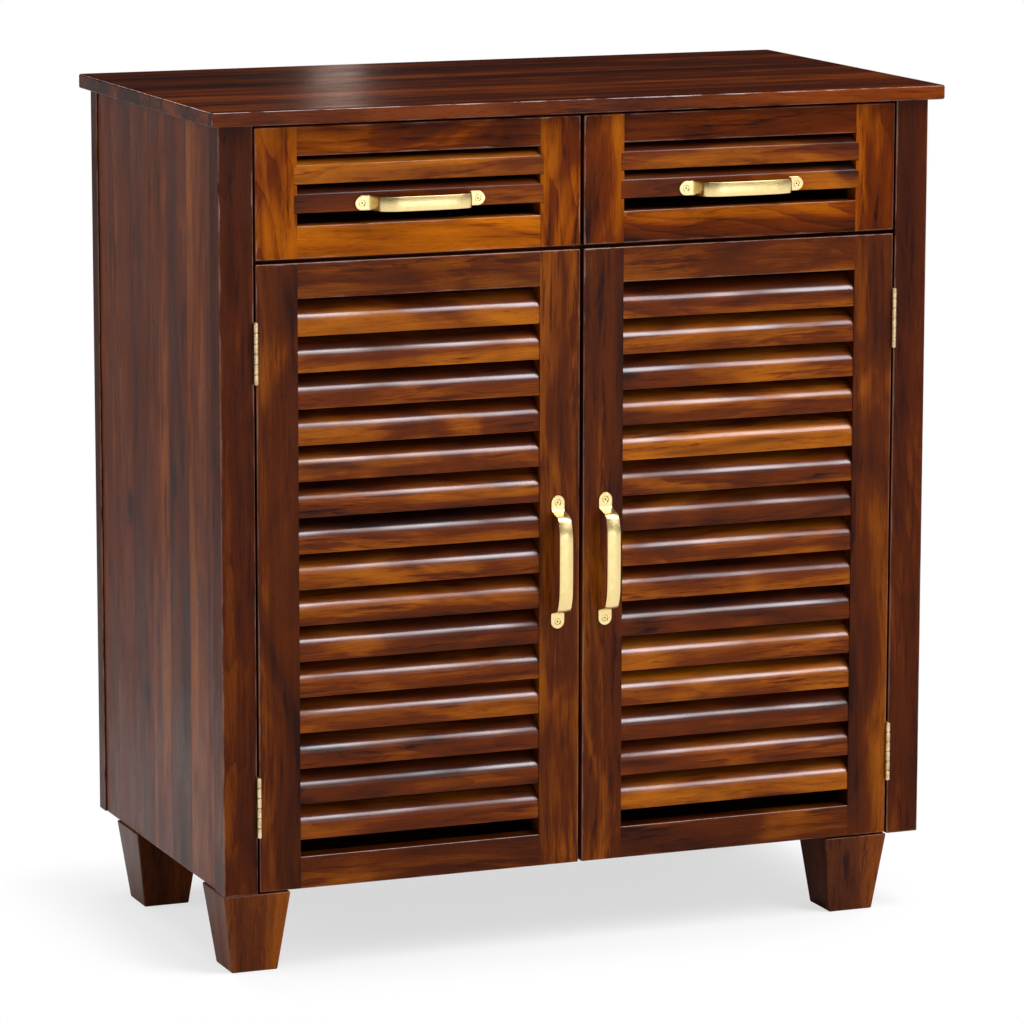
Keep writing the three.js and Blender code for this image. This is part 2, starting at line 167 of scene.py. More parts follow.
# The span of a layer that counts and, where they aren't 0 and 1, the values at its two ends
WINDOWS = {
    "fade": (0.35, 0.65, 0.25, 1.0),
    "pore": (0.6, 0.72),
    "stroke": (0.53, 0.66),
    "gather": (0.38, 0.62),
    "smoke": (0.58, 0.75),
    "rub": (0.3, 0.7, 0.2, 1.6),
    "patch": (0.36, 0.62, 0.3, 1.0),
}
KNOT_STRETCH = (5, 8, 8)
KNOT_EDGES = (0.05, 0.16)
KNOT_FRAY = 0.03
SWAY = 0.03
PITH_SLOPES = (0.05, 0.11)
PITH_DEPTH = 0.035
RING_SPACING = 0.012
RING_WOBBLE = 2.2
RING_POWER = 2.2
RING_MEAN = 0.31
STREAK_GAIN = 3.4
FLAME_GAIN = 2.0
FIBRE_GAIN = 0.3
STROKE_GAIN = 0.32
PORE_DARK = 0.45
SMOKE_DARK = 0.5
KNOT_DARK = 0.9
SEAM_WIDTHS = (0.2 * MM, 0.7 * MM)
SEAM_DARK = 0.7
SEAM_DEPTH = 1.5
SEAM_COLOUR = "#140806"
# Painted shade for the backs of the slats' upper faces, deep in the louvres
SLAT_PAINTED_SHADE = "#1a0804"
ARRIS_WIDTH = 1.6 * MM
WORN_ROUGHNESS = 0.15
SHEEN_SPAN = (0.3, 0.7)
PLANK_SHIFT = 7.0
SHIFT_REACH = 8

# Brass: the scales and windows of its clouds and pits, and its colours there
CLOUD_SCALE = 110.0
CLOUD_WINDOW = (0.42, 0.7)
CLOUD_ROUGHNESS = 0.25
PIT_SCALE = 900.0
PIT_WINDOW = (0.55, 0.7)
PIT_COLOUR = "#4a3413"
# Painted shade in the countersinks and the screws' cross slots
RECESS_SHADE_COLOUR = "#1c1206"


# Node trees

class Net:
    """A node tree with short ways to add nodes and link them."""

    def __init__(self, tree):
        self.tree = tree
        tree.nodes.clear()

    def feed(self, socket, value):
        if isinstance(value, bpy.types.NodeSocket):
            self.tree.links.new(value, socket)
        else:
            socket.default_value = value

    def node(self, kind, values=None, **settings):
        made = self.tree.nodes.new(kind)
        for key, value in settings.items():
            setattr(made, key, value)
        for key, value in (values or {}).items():
            self.feed(made.inputs[key], value)
        return made

    def made(self, kind, values=None, **settings):
        """The first output of a new node."""
        return self.node(kind, values, **settings).outputs[0]

    def group(self, tree, values):
        return self.node("ShaderNodeGroup", values, node_tree=tree).outputs

    def maths(self, operation, *terms, clamp=False):
        return self.made("ShaderNodeMath", dict(enumerate(terms)), operation=operation, use_clamp=clamp)

    def plus(self, first, second):
        return self.maths("ADD", first, second)

    def minus(self, first, second, clamp=False):
        return self.maths("SUBTRACT", first, second, clamp=clamp)

    def times(self, first, second):
        return self.maths("MULTIPLY", first, second)

    def vector(self, operation, *terms):
        made = self.node("ShaderNodeVectorMath", dict(enumerate(terms)), operation=operation)
        return made.outputs["Value" if operation == "LENGTH" else "Vector"]

    def split(self, vector):
        return self.node("ShaderNodeSeparateXYZ", {0: vector}).outputs

    def join(self, x, y, z):
        return self.made("ShaderNodeCombineXYZ", {0: x, 1: y, 2: z})

    def noise(self, place, detail, rough=0.5, distortion=0.0, scale=1.0):
        values = {"Vector": place, "Scale": scale, "Detail": detail, "Roughness": rough,
                  "Distortion": distortion}
        return self.node("ShaderNodeTexNoise", values).outputs["Fac"]

    def span(self, value, low, high, to_low=0.0, to_high=1.0, smooth=False):
        values = {"Value": value, "From Min": low, "From Max": high, "To Min": to_low, "To Max": to_high}
        kind = "SMOOTHSTEP" if smooth else "LINEAR"
        return self.made("ShaderNodeMapRange", values, interpolation_type=kind, clamp=True)

    def layer(self, name, place):
        """A named layer of noise, through its window where it has one."""
        stretch, *character = LAYERS[name]
        found = self.noise(self.vector("MULTIPLY", place, stretch), *character)
        return self.span(found, *WINDOWS[name]) if name in WINDOWS else found

    def centred(self, name, place):
        return self.minus(self.layer(name, place), 0.5)

    def blend(self, share, first, second, kind="MIX"):
        settings = {"data_type": "RGBA", "blend_type": kind, "clamp_factor": True}
        return self.node("ShaderNodeMix", {0: share, 6: first, 7: second}, **settings).outputs[2]

    def attribute(self, name, output):
        return self.node("ShaderNodeAttribute", attribute_name=name).outputs[output]

    def rays(self):
        """Shares for a ray that the camera sends and for one that a mirroring or clear surface sends."""
        path = self.node("ShaderNodeLightPath").outputs
        mirrored = self.maths("MAXIMUM", path["Is Glossy Ray"], path["Is Transmission Ray"])
        return path["Is Camera Ray"], mirrored


def node_group(name, tree, inputs, outputs):
    """A node group, its net, its input sockets and its output sockets; an input is a kind or a number."""
    group = bpy.data.node_groups.new(name, tree)
    for label, value in inputs.items():
        kind = value if isinstance(value, str) else "Int" if isinstance(value, int) else "Float"
        socket = group.interface.new_socket(name=label, in_out="INPUT", socket_type="NodeSocket" + kind)
        if kind != value:
            socket.default_value = value
    for label, kind in outputs.items():
        group.interface.new_socket(name=label, in_out="OUTPUT", socket_type="NodeSocket" + kind)
    net = Net(group)
    return group, net, net.node("NodeGroupInput").outputs, net.node("NodeGroupOutput").inputs


def colour(text, alpha=1.0):
    """A linear colour from an sRGB hex code."""
    parts = [int(text[i:i + 2], 16) / 255 for i in (1, 3, 5)]
    return (*[c / 12.92 if c <= 0.04045 else ((c + 0.055) / 1.055) ** 2.4 for c in parts], alpha)


def make_timber_figure():
    """Grain of a board: broad streaks, growth rings, flame, fibres and pores along the place's x."""
    group, net, given, out = node_group("timber figure", "ShaderNodeTree", {
        "Place": "Vector", "Tone": 0.5, "Streaks": 0.6, "Rings": 0.25, "Flame": 0.35,
        "Dark": "Color", "Middle": "Color", "Honey": "Color",
    }, {"Colour": "Color", "Sheen": "Float", "Relief": "Float"})
    place = given["Place"]
    # The log wanders a little along the board
    sway = net.times(net.centred("drift", place), SWAY)
    x, y, z = net.split(place)
    bent = net.join(x, net.plus(y, sway), net.plus(z, sway))
    # Rings about a pith that runs aslant behind the board
    bx, by, bz = net.split(bent)
    pith_y = net.plus(net.times(bx, PITH_SLOPES[0]), by)
    pith_z = net.plus(net.plus(net.times(bx, PITH_SLOPES[1]), bz), PITH_DEPTH)
    radius = net.maths("SQRT", net.plus(net.times(pith_y, pith_y), net.times(pith_z, pith_z)))
    wobble = net.times(net.layer("wobble", bent), RING_WOBBLE)
    turn = net.plus(net.maths("DIVIDE", radius, RING_SPACING), wobble)
    ring = net.minus(net.maths("POWER", net.maths("FRACT", turn), RING_POWER), RING_MEAN)
    ring = net.times(ring, net.layer("fade", place))
    # The level runs from dark to honey
    fibre = net.layer("fibre", bent)
    streak = net.times(net.centred("streak", bent), given["Streaks"])
    flame = net.times(net.centred("flame", bent), given["Flame"])
    stroke = net.times(net.layer("stroke", bent), net.layer("gather", place))
    level = net.maths("MULTIPLY_ADD", streak, STREAK_GAIN, given["Tone"])
    level = net.maths("MULTIPLY_ADD", flame, FLAME_GAIN, level)
    level = net.minus(level, net.times(ring, given["Rings"]))
    level = net.maths("MULTIPLY_ADD", net.minus(fibre, 0.5), FIBRE_GAIN, level)
    level = net.minus(level, net.times(stroke, STROKE_GAIN))
    low = net.blend(net.span(level, 0.0, 0.5), given["Dark"], given["Middle"])
    both = net.blend(net.span(level, 0.45, 1.0), low, given["Honey"])
    pore = net.layer("pore", place)
    tint = net.blend(net.times(pore, PORE_DARK), both, given["Dark"])
    # Knots and smoky stains
    spots = {"Vector": net.vector("MULTIPLY", bent, KNOT_STRETCH), "Scale": 1.0}
    spot = net.node("ShaderNodeTexVoronoi", spots, feature="F1").outputs["Distance"]
    knot = net.span(net.plus(spot, net.times(fibre, KNOT_FRAY)), *KNOT_EDGES, 1.0, 0.0, smooth=True)
    smoke = net.times(net.layer("smoke", bent), SMOKE_DARK)
    stain = net.maths("MAXIMUM", smoke, net.times(knot, KNOT_DARK))
    net.feed(out["Colour"], net.blend(stain, tint, given["Dark"]))
    haze = net.layer("haze", place)
    net.feed(out["Sheen"], net.plus(net.times(haze, 0.75), net.times(fibre, 0.25)))
    relief = net.minus(net.times(fibre, 0.35), net.times(pore, 0.8))
    net.feed(out["Relief"], net.plus(relief, net.times(haze, 0.6)))
    return group


def make_glued_planks():
    """Planks side by side across the place's y: each one's own shift and tone, and the seams."""
    group, net, given, out = node_group("glued planks", "ShaderNodeTree", {
        "Place": "Vector", "Plank width": 0.07, "Tone spread": 0.3, "Seed": 0.0,
    }, {"Place": "Vector", "Tone": "Float", "Seam": "Float"})
    x, y, z = net.split(given["Place"])
    across = net.maths("DIVIDE", y, given["Plank width"])
    number = net.plus(net.maths("FLOOR", across), given["Seed"])
    chance = net.node("ShaderNodeTexWhiteNoise", {"W": number}, noise_dimensions="1D").outputs["Value"]
    shift = net.times(chance, PLANK_SHIFT)
    net.feed(out["Place"], net.join(net.plus(x, shift), y, net.plus(z, shift)))
    net.feed(out["Tone"], net.times(net.minus(chance, 0.5), given["Tone spread"]))
    part = net.maths("FRACT", across)
    side = net.maths("MINIMUM", part, net.minus(1.0, part))
    net.feed(out["Seam"], net.span(net.times(side, given["Plank width"]), *SEAM_WIDTHS, 1.0, 0.0))
    return group


def make_worn_arris():
    """Mask of a board's arrises, broken up by noise; Inside is the place from the board's middle."""
    group, net, given, out = node_group("worn arris", "ShaderNodeTree", {
        "Inside": "Vector", "Half size": "Vector", "Place": "Vector",
    }, {"Wear": "Float"})
    gap = net.vector("SUBTRACT", given["Half size"], net.vector("ABSOLUTE", given["Inside"]))
    x, y, z = net.split(gap)
    least = net.maths("MINIMUM", net.maths("MINIMUM", x, y), z)
    most = net.maths("MAXIMUM", net.maths("MAXIMUM", x, y), z)
    second = net.minus(net.minus(net.plus(net.plus(x, y), z), least), most)
    reach = net.times(net.layer("rub", given["Place"]), ARRIS_WIDTH)
    net.feed(out["Wear"], net.minus(1.0, net.maths("DIVIDE", second, reach), clamp=True))
    return group


def make_rubbed_metal():
    """Tarnish, brushing and small pits of old brass."""
    group, net, given, out = node_group("rubbed metal", "ShaderNodeTree", {
        "Place": "Vector", "Brushing": "Vector",
    }, {"Tarnish": "Float", "Brush": "Float", "Pits": "Float"})
    place = given["Place"]
    net.feed(out["Tarnish"], net.span(net.noise(place, 4, 0.6, scale=CLOUD_SCALE), *CLOUD_WINDOW))
    net.feed(out["Brush"], net.noise(net.vector("MULTIPLY", place, given["Brushing"]), 2, 0.6))
    net.feed(out["Pits"], net.span(net.noise(place, 2, 0.7, scale=PIT_SCALE), *PIT_WINDOW))
    return group


TIMBER = make_timber_figure()
PLANKS = make_glued_planks()
ARRIS = make_worn_arris()
METAL = make_rubbed_metal()


def new_material(name):
    material = bpy.data.materials.new(name)
    material.use_nodes = True
    net = Net(material.node_tree)
    shader = net.node("ShaderNodeBsdfPrincipled")
    end = net.node("ShaderNodeOutputMaterial", {"Surface": shader.outputs["BSDF"]})
    end.is_active_output = True
    return material, net, shader


def set_surface(net, shader, paint, rough, height, relief, **values):
    """Feeds the shader its colour, roughness and relief, and sets its other sockets by their labels."""
    net.feed(shader.inputs["Base Color"], paint)
    net.feed(shader.inputs["Roughness"], rough)
    bump = net.node("ShaderNodeBump", {"Height": height, "Distance": relief, "Strength": 1.0})
    net.feed(shader.inputs["Normal"], bump.outputs["Normal"])
    for key, value in values.items():
        net.feed(shader.inputs[key.replace("_", " ")], value)


def timber(name, dark, middle, honey, figure, shine=(0.24, 0.42), specular=0.1, gloss=1.0, clear=1.8,
           blur=0.14, crowned=False, wear=0.5, worn="#8a4c22", relief=0.12 * MM, plank=0.0, spread=0.2,
           seed=0.0):
    """Lacquered board: its figure, with the strengths of streaks, rings and flame, follows its own place
    and tone, and the lacquer pools on its arrises."""
    material, net, shader = new_material(name)
    streaks, rings, flame = figure
    own = net.attribute("grain", "Vector")
    place, tone = own, net.attribute("tone", "Fac")
    if plank:
        glued = net.group(PLANKS, {"Place": own, "Plank width": plank, "Tone spread": spread, "Seed": seed})
        place = glued["Place"]
        tone = net.plus(tone, glued["Tone"])
    wood = net.group(TIMBER, {"Place": place, "Tone": tone, "Streaks": streaks, "Rings": rings,
                              "Flame": flame, "Dark": colour(dark), "Middle": colour(middle),
                              "Honey": colour(honey)})
    edge = net.group(ARRIS, {"Inside": net.attribute("inside", "Vector"), "Place": own,
                             "Half size": net.attribute("half", "Vector")})["Wear"]
    rubbed = net.times(edge, wear)
    height = wood["Relief"]
    if crowned:
        # Slats are glossy on the nose and carry painted shade that deepens towards the back; without a
        # stored box they wear evenly
        paint = net.blend(net.attribute("depth", "Fac"), wood["Colour"], colour(SLAT_PAINTED_SHADE))
        lacquer = net.times(net.attribute("crown", "Fac"), net.layer("patch", place))
    else:
        paint = net.blend(rubbed, wood["Colour"], colour(worn))
        lacquer = net.times(edge, gloss)
    if plank:
        paint = net.blend(net.times(glued["Seam"], SEAM_DARK), paint, colour(SEAM_COLOUR))
        height = net.minus(height, net.times(glued["Seam"], SEAM_DEPTH))
    rough = net.maths("MULTIPLY_ADD", rubbed, WORN_ROUGHNESS, net.span(wood["Sheen"], *SHEEN_SPAN, *shine))
    set_surface(net, shader, paint, rough, height, relief, Coat_Weight=lacquer, Specular_IOR_Level=specular,
                Coat_Roughness=blur, Coat_IOR=clear)
    return material


def brass(name, bright, dull, tarnish, pits, lacquer, rough=(0.24, 0.4), brushing=(60, 2400, 2400)):
    """Satin brass with brushing, darker clouds and pits, and painted shade in its recesses, under a clear
    lacquer.
    """
    material, net, shader = new_material(name)
    marks = net.group(METAL, {"Place": net.attribute("grain", "Vector"), "Brushing": brushing})
    cloud = net.times(marks["Tarnish"], tarnish)
    paint = net.blend(cloud, colour(bright), colour(dull))
    paint = net.blend(net.times(marks["Pits"], pits), paint, colour(PIT_COLOUR))
    # Painted shade in the countersinks and at the bottoms of the cross slots
    paint = net.blend(net.attribute("recess_shade", "Fac"), paint, colour(RECESS_SHADE_COLOUR))
    brushed = net.span(marks["Brush"], *SHEEN_SPAN, *rough)
    brushed = net.maths("MULTIPLY_ADD", cloud, CLOUD_ROUGHNESS, brushed)
    height = net.minus(net.times(marks["Brush"], 0.3), marks["Pits"])
    set_surface(net, shader, paint, brushed, height, 0.04 * MM, Metallic=1.0, Coat_Weight=lacquer,
                Coat_Roughness=0.2, Coat_IOR=1.8)
    return material


DARK = "#280c05"
FINISH = {
    "top_wood": timber("polished top", "#240903", "#481802", "#8a3f08", figure=(0.45, 0.12, 0.25),
                       shine=(0.16, 0.28), specular=0.065, clear=2.1, wear=0.3, relief=0.04 * MM,
                       plank=0.074, spread=0.35, seed=3.0),
    "post_wood": timber("polished posts", DARK, "#532004", "#9c5208", figure=(0.34, 0.15, 0.3),
                        specular=0.07),
    "panel_wood": timber("polished side planks", "#2c0d05", "#6a2b05", "#a85c14", figure=(0.28, 0.1, 0.25),
                         plank=0.0625, seed=11.0),
    "board_wood": timber("polished inner boards", "#2a0f06", "#60280a", "#a0601c", figure=(0.35, 0.2, 0.35),
                         plank=0.09, seed=5.0, shine=(0.36, 0.52)),
    "leg_wood": timber("polished legs", DARK, "#5c2806", "#a4570a", figure=(0.22, 0.12, 0.18), gloss=0.3,
                       wear=0.25),
    "door_wood": timber("polished door frames", DARK, "#5c2502", "#a85c08", figure=(0.36, 0.12, 0.5),
                        specular=0.08),
    "louvre_wood": timber("polished louvre slats", "#240a04", "#6a2b02", "#bc6a08",
                          figure=(0.45, 0.12, 0.5), shine=(0.2, 0.34), clear=1.9, blur=0.3, crowned=True),
    "drawer_wood": timber("polished drawer fronts", "#240a04", "#6c2a01", "#be6600",
                          figure=(0.36, 0.2, 0.65), specular=0.05),
    "box_wood": timber("oiled drawer boxes", "#4a2a14", "#8a5a2e", "#b88a52", figure=(0.4, 0.25, 0.2),
                       shine=(0.5, 0.68), wear=0.25, worn="#b88c5c", relief=0.2 * MM),
    "handle_brass": brass("satin handle brass", "#fbe09a", "#dcb466", tarnish=0.22, pits=0.03, lacquer=0.6),
    "hinge_brass": brass("speckled hinge brass", "#f6dcaa", "#a07c40", tarnish=0.5, pits=0.5, lacquer=0.3,
                         rough=(0.26, 0.46), brushing=(900, 900, 900)),
}


# Meshes

AXES = "xyz"


def link(name, mesh):
    piece = bpy.data.objects.new(name, mesh)
    bpy.context.scene.collection.objects.link(piece)
    return piece


def dots(name, places, **values):
    """A piece of bare points with values stored on them."""
    mesh = bpy.data.meshes.new(name)
    mesh.from_pydata(places, [], [])
    for key, value in values.items():
        give(mesh, key, value)
    return link(name, mesh)


def change(piece, kind, **settings):
    """The piece as a modifier leaves it."""
    modifier = piece.modifiers.new("change", kind)
    for key, value in settings.items():
        setattr(modifier, key, value)
    return settle(piece)


def settle(piece):
    """The piece's modifiers turned into plain mesh."""
    depsgraph = bpy.context.evaluated_depsgraph_get()
    made = bpy.data.meshes.new_from_object(piece.evaluated_get(depsgraph))
    old = piece.data
    piece.modifiers.clear()
    piece.data = made
    bpy.data.meshes.remove(old)
    return piece


def grow(piece, group, values):
    """The geometry nodes' result as the piece's plain mesh."""
    modifier = piece.modifiers.new("grown", "NODES")
    modifier.node_group = group
    for item in group.interface.items_tree:
        if item.in_out == "INPUT" and item.name in values:
            modifier[item.identifier] = values[item.name]
    return settle(piece)


def smooth(mesh, angle):
    """Smooth shading but for edges over the angle."""
    mesh.polygons.foreach_set("use_smooth", [True] * len(mesh.polygons))
    mesh.set_sharp_from_angle(angle=angle)


def close(work, mesh):
    work.to_mesh(mesh)
    work.free()
    return mesh


def give(mesh, name, values):
    """Stores a number or a vector for each point."""
    values = np.asarray(values, np.float32)
    kind, key = ("FLOAT", "value") if values.ndim == 1 else ("FLOAT_VECTOR", "vector")
    layer = mesh.attributes.get(name) or mesh.attributes.new(name, kind, "POINT")
    layer.data.foreach_set(key, values.ravel())


def read(items, key, width):
    """The values under a key, a row for each item."""
    flat = np.zeros(len(items) * width, np.float32)
    items.foreach_get(key, flat)
    return flat.reshape(-1, width)


def points_of(mesh):
    return read(mesh.vertices, "co", 3).astype(float)


def own_shift(name):
    """A board's own place in the timber, the same at each run."""
    draw = np.random.default_rng(zlib.crc32(name.encode()))
    return draw.uniform(-SHIFT_REACH, SHIFT_REACH, 3)


def lay_grain(mesh, name, along, across, tone, taper=None, sharp=()):
    """Stores the board's place in the timber, its tone from edge to edge, and the box whose arrises are
    rubbed: a sharp side meets another board and keeps none."""
    thick = next(a for a in AXES if a not in (along, across))
    order = [AXES.index(a) for a in (along, across, thick)]
    places = points_of(mesh)
    low, high = places.min(0), places.max(0)
    first_side, last_side = low.copy(), high.copy()
    for axis, place in sharp:
        i = AXES.index(axis)
        if abs(place - low[i]) < abs(place - high[i]):
            first_side[i] -= JOINT_REACH
        else:
            last_side[i] += JOINT_REACH
    middle, half = (first_side + last_side) / 2, (last_side - first_side) / 2
    inside = places - middle
    if taper:
        foot, top = taper
        share = (places[:, 2] - low[2]) / (high[2] - low[2])
        width = (foot + (top - foot) * share)[:, None]
        inside[:, :2] *= top / width
        half[:2] = top / 2
    give(mesh, "grain", places[:, order] + own_shift(name))
    give(mesh, "inside", inside)
    give(mesh, "half", np.tile(half, (len(places), 1)))
    first, last = tone if isinstance(tone, tuple) else (tone, tone)
    share = (places[:, order[1]] - low[order[1]]) / (high[order[1]] - low[order[1]])
    give(mesh, "tone", first + (last - first) * share)


def dress(piece, body, slot, *nodes):
    """Gives the piece the finish of its slot and its body, and hides the CAD nodes that it stands for."""
    piece.data.materials.clear()
    piece.data.materials.append(FINISH[slot])
    piece.data.polygons.foreach_set("material_index", [0] * len(piece.data.polygons))
    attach(piece, body)
    if nodes:
        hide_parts(*nodes)
    return piece


def is_eased(edge, low, high, sharp, every):
    """Whether the edge lies along an edge of the box, or every edge counts, and it meets no other board."""
    if len(edge.link_faces) != 2 or edge.calc_face_angle(0) < BOX_EDGE:
        return False
    ends = [v.co for v in edge.verts]
    held = [(i, limit) for i in range(3) for limit in (low[i], high[i])
            if all(abs(p[i] - limit) < ON_SIDE for p in ends)]
    if any(AXES.index(a) == i and abs(v - limit) < AT_JOINT for i, limit in held for a, v in sharp):
        return False
    return every or len(held) >= 2


def eased_copy(name, ease, sharp=(), every=False):
    """The node's solid with clean flat faces and eased arrises along its box edges."""
    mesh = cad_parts[name].data.copy()
    mesh.materials.clear()
    work = bmesh.new()
    work.from_mesh(mesh)
    bmesh.ops.remove_doubles(work, verts=work.verts, dist=BOARD_WELD)
    bmesh.ops.dissolve_limit(work, angle_limit=FLAT, verts=work.verts, edges=work.edges)
    bmesh.ops.recalc_face_normals(work, faces=work.faces)
    low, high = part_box(name)
    weights = work.edges.layers.float
    weight = weights.get("bevel_weight_edge") or weights.new("bevel_weight_edge")
    for edge in work.edges:
        if is_eased(edge, low, high, sharp, every):
            edge[weight] = 1.0
    smooth(close(work, mesh), BOARD_SHARP)
    return change(link(name + "_shown", mesh), "BEVEL", width=ease, segments=EASE_STEPS,
                  limit_method="WEIGHT", harden_normals=True)


def board(name, body, slot, along, across, tone, ease=BOARD_EASE, sharp=(), taper=None):
    piece = eased_copy(name, ease, sharp, every=taper is not None)
    lay_grain(piece.data, name, along, across, tone, taper, sharp)
    return dress(piece, body, slot, name)


# Case: a tone is a share from dark to honey, or a pair from the low edge to the high one
TOP_TONES = (0.58, 0.34)
TOP_FRONT_TONE = 0.85
POST_TONES = {"left": (0.3, 0.12), "right": (0.34, 0.4)}
# The front legs run darker towards their left sides: painted shade on the left faces, which lie in shadow
# under the cabinet, mixed with their own tone
LEG_TONES_AND_SHADE = {"front_leg_left": (0.38, 0.76), "front_leg_right": (0.24, 0.56), "back_leg_left": 0.4,
             "back_leg_right": 0.4}
top = board("top_board", "case", "top_wood", "x", "y", TOP_TONES, TOP_EASE)
# The top's front edge is lighter than its face
from_front = points_of(top.data)[:, 1]
tones = read(top.data.attributes["tone"].data, "value", 1)[:, 0]
tones[from_front < from_front.min() + TOP_EASE / 4] = TOP_FRONT_TONE
give(top.data, "tone", tones)
for side, tone in POST_TONES.items():
    board("front_post_" + side, "case", "post_wood", "z", "x", tone)
    board("back_post_" + side, "case", "post_wood", "z", "x", 0.38)
    board("side_panel_" + side, "case", "panel_wood", "z", "y", 0.4)
    board("drawer_guide_" + side, "case", "box_wood", "y", "x", 0.5, BOX_EASE)
for name, (along, across), tone in (("back_panel", "zx", 0.45), ("floor_board", "xy", 0.42),
                                    ("drawer_deck", "xy", 0.45), ("shelf", "xy", 0.5)):
    board(name, "case", "board_wood", along, across, tone)
board("drawer_divider", "case", "box_wood", "y", "z", 0.45, BOX_EASE)
for node, tone in LEG_TONES_AND_SHADE.items():
    low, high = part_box(node)
    corners = points_of(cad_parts[node].data)
    foot = np.ptp(corners[corners[:, 2] < low.z + MM, 0])
    board(node, "case", "leg_wood", "z", "x", tone, LEG_EASE, taper=(foot, high.x - low.x))

# Door and drawer frames
FRAME_BOARDS = {"door": ("hinge_stile", "lock_stile", "top_rail", "bottom_rail"),
                "drawer": ("outer_stile", "inner_stile", "top_rail", "bottom_rail")}
FRAME_TONES = {
    "door_left": ((0.42, 0.3), 0.42, 0.4, 0.5),
    "drawer_left": ((0.56, 0.74), 0.66, 0.46, 0.82),
    "door_right": ((0.32, 0.68), (0.5, 0.28), 0.64, 0.44),
    "drawer_right": ((0.75, 0.2), (0.28, 0.56), 0.34, 0.28),
}
for body, tones in FRAME_TONES.items():
    kind = body.split("_")[0]
    slot = kind + "_wood"
    rail_low, rail_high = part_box(f"{body}_top_rail")
    for name, tone in zip(FRAME_BOARDS[kind], tones):
        node = f"{body}_{name}"
        if name.endswith("stile"):
            low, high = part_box(node)
            inner = high.x if low.x + high.x < rail_low.x + rail_high.x else low.x
            board(node, body, slot, "z", "x", tone, sharp=[("x", inner)])
        else:
            board(node, body, slot, "x", "z", tone, sharp=[("x", rail_low.x), ("x", rail_high.x)])

# Drawer boxes
BOX_BOARDS = {"outer_side": "yz", "inner_side": "yz", "bottom": "xy", "back": "xz"}
for side in ("left", "right"):
    body = "drawer_" + side
    for name, (along, across) in BOX_BOARDS.items():
        board(f"{body}_{name}", body, "box_wood", along, across, 0.5, BOX_EASE)


# Louvre slats

def stored(net, geometry, name, value, domain):
    values = {"Geometry": geometry, "Name": name, "Value": value}
    return net.made("GeometryNodeStoreNamedAttribute", values, data_type="FLOAT_VECTOR", domain=domain)


def named(net, name, kind):
    return net.made("GeometryNodeInputNamedAttribute", {"Name": name}, data_type=kind)


def finished(net, instances, grain, finish):
    """The instances as plain geometry with their grain and finish."""
    grained = stored(net, net.made("GeometryNodeRealizeInstances", {0: instances}), "grain", grain, "POINT")
    return net.made("GeometryNodeSetMaterial", {"Geometry": grained, "Material": finish})


def make_slat_row():
    """Slats on given points: an upright face, a round nose and a slope up to the back."""
    group, net, given, out = node_group("louvre slats", "GeometryNodeTree", {
        "Geometry": "Geometry", "Length": 0.3, "Face": 0.018, "Depth": 0.022, "Tilt": SLAT_TILT,
        "Nose radius": SLAT_NOSE, "Round": 0.005, "Ease": SLAT_EASE, "Seed": 1, "Finish": "Material",
    }, {"Geometry": "Geometry"})
    rise = net.maths("TANGENT", given["Tilt"])
    up = net.times(given["Depth"], rise)
    # Height of the corner that the nose rounds off
    lean = net.minus(1.0, net.maths("SINE", given["Tilt"]))
    crown = net.minus(net.maths("COSINE", given["Tilt"]), net.times(lean, rise))
    corner = net.maths("MULTIPLY_ADD", given["Nose radius"], crown, given["Face"])
    spots = [net.join(0.0, 0.0, 0.0), net.join(given["Depth"], up, 0.0),
             net.join(given["Depth"], net.plus(corner, up), 0.0), net.join(0.0, corner, 0.0)]
    points = {f"Point {i + 1}": spot for i, spot in enumerate(spots)}
    outline = net.made("GeometryNodeCurvePrimitiveQuadrilateral", points, mode="POINTS")
    index = net.made("GeometryNodeInputIndex")
    is_nose = net.made("FunctionNodeCompare", {2: index, 3: len(spots) - 1}, data_type="INT",
                       operation="EQUAL")
    radius = net.made("GeometryNodeSwitch", {0: is_nose, 1: given["Ease"], 2: given["Round"]},
                      input_type="FLOAT")
    rounded = net.made("GeometryNodeFilletCurve", {"Curve": outline, "Radius": radius,
                                                   "Count": SLAT_ROUND_STEPS}, mode="POLY")
    half = net.times(given["Length"], 0.5)
    ends = {"Start": net.join(net.times(half, -1.0), 0.0, 0.0), "End": net.join(half, 0.0, 0.0)}
    path = net.made("GeometryNodeCurvePrimitiveLine", ends)
    sweep = {"Curve": path, "Profile Curve": rounded, "Fill Caps": True}
    swept = net.made("GeometryNodeCurveToMesh", sweep)
    stood = net.made("GeometryNodeTransform", {"Geometry": swept, "Rotation": (math.pi, 0, 0)})
    placed = net.made("GeometryNodeInstanceOnPoints", {"Points": given["Geometry"], "Instance": stood})
    reach = {0: (-SHIFT_REACH,) * 3, 1: (SHIFT_REACH,) * 3}
    draw = net.made("FunctionNodeRandomValue", {**reach, "Seed": given["Seed"]}, data_type="FLOAT_VECTOR")
    shifted = stored(net, placed, "shift", draw, "INSTANCE")
    x, y, z = net.split(net.made("GeometryNodeInputPosition"))
    grain = net.vector("ADD", net.join(x, z, y), named(net, "shift", "FLOAT_VECTOR"))
    net.feed(out[0], finished(net, shifted, grain, given["Finish"]))
    return group


SLAT_ROW = make_slat_row()


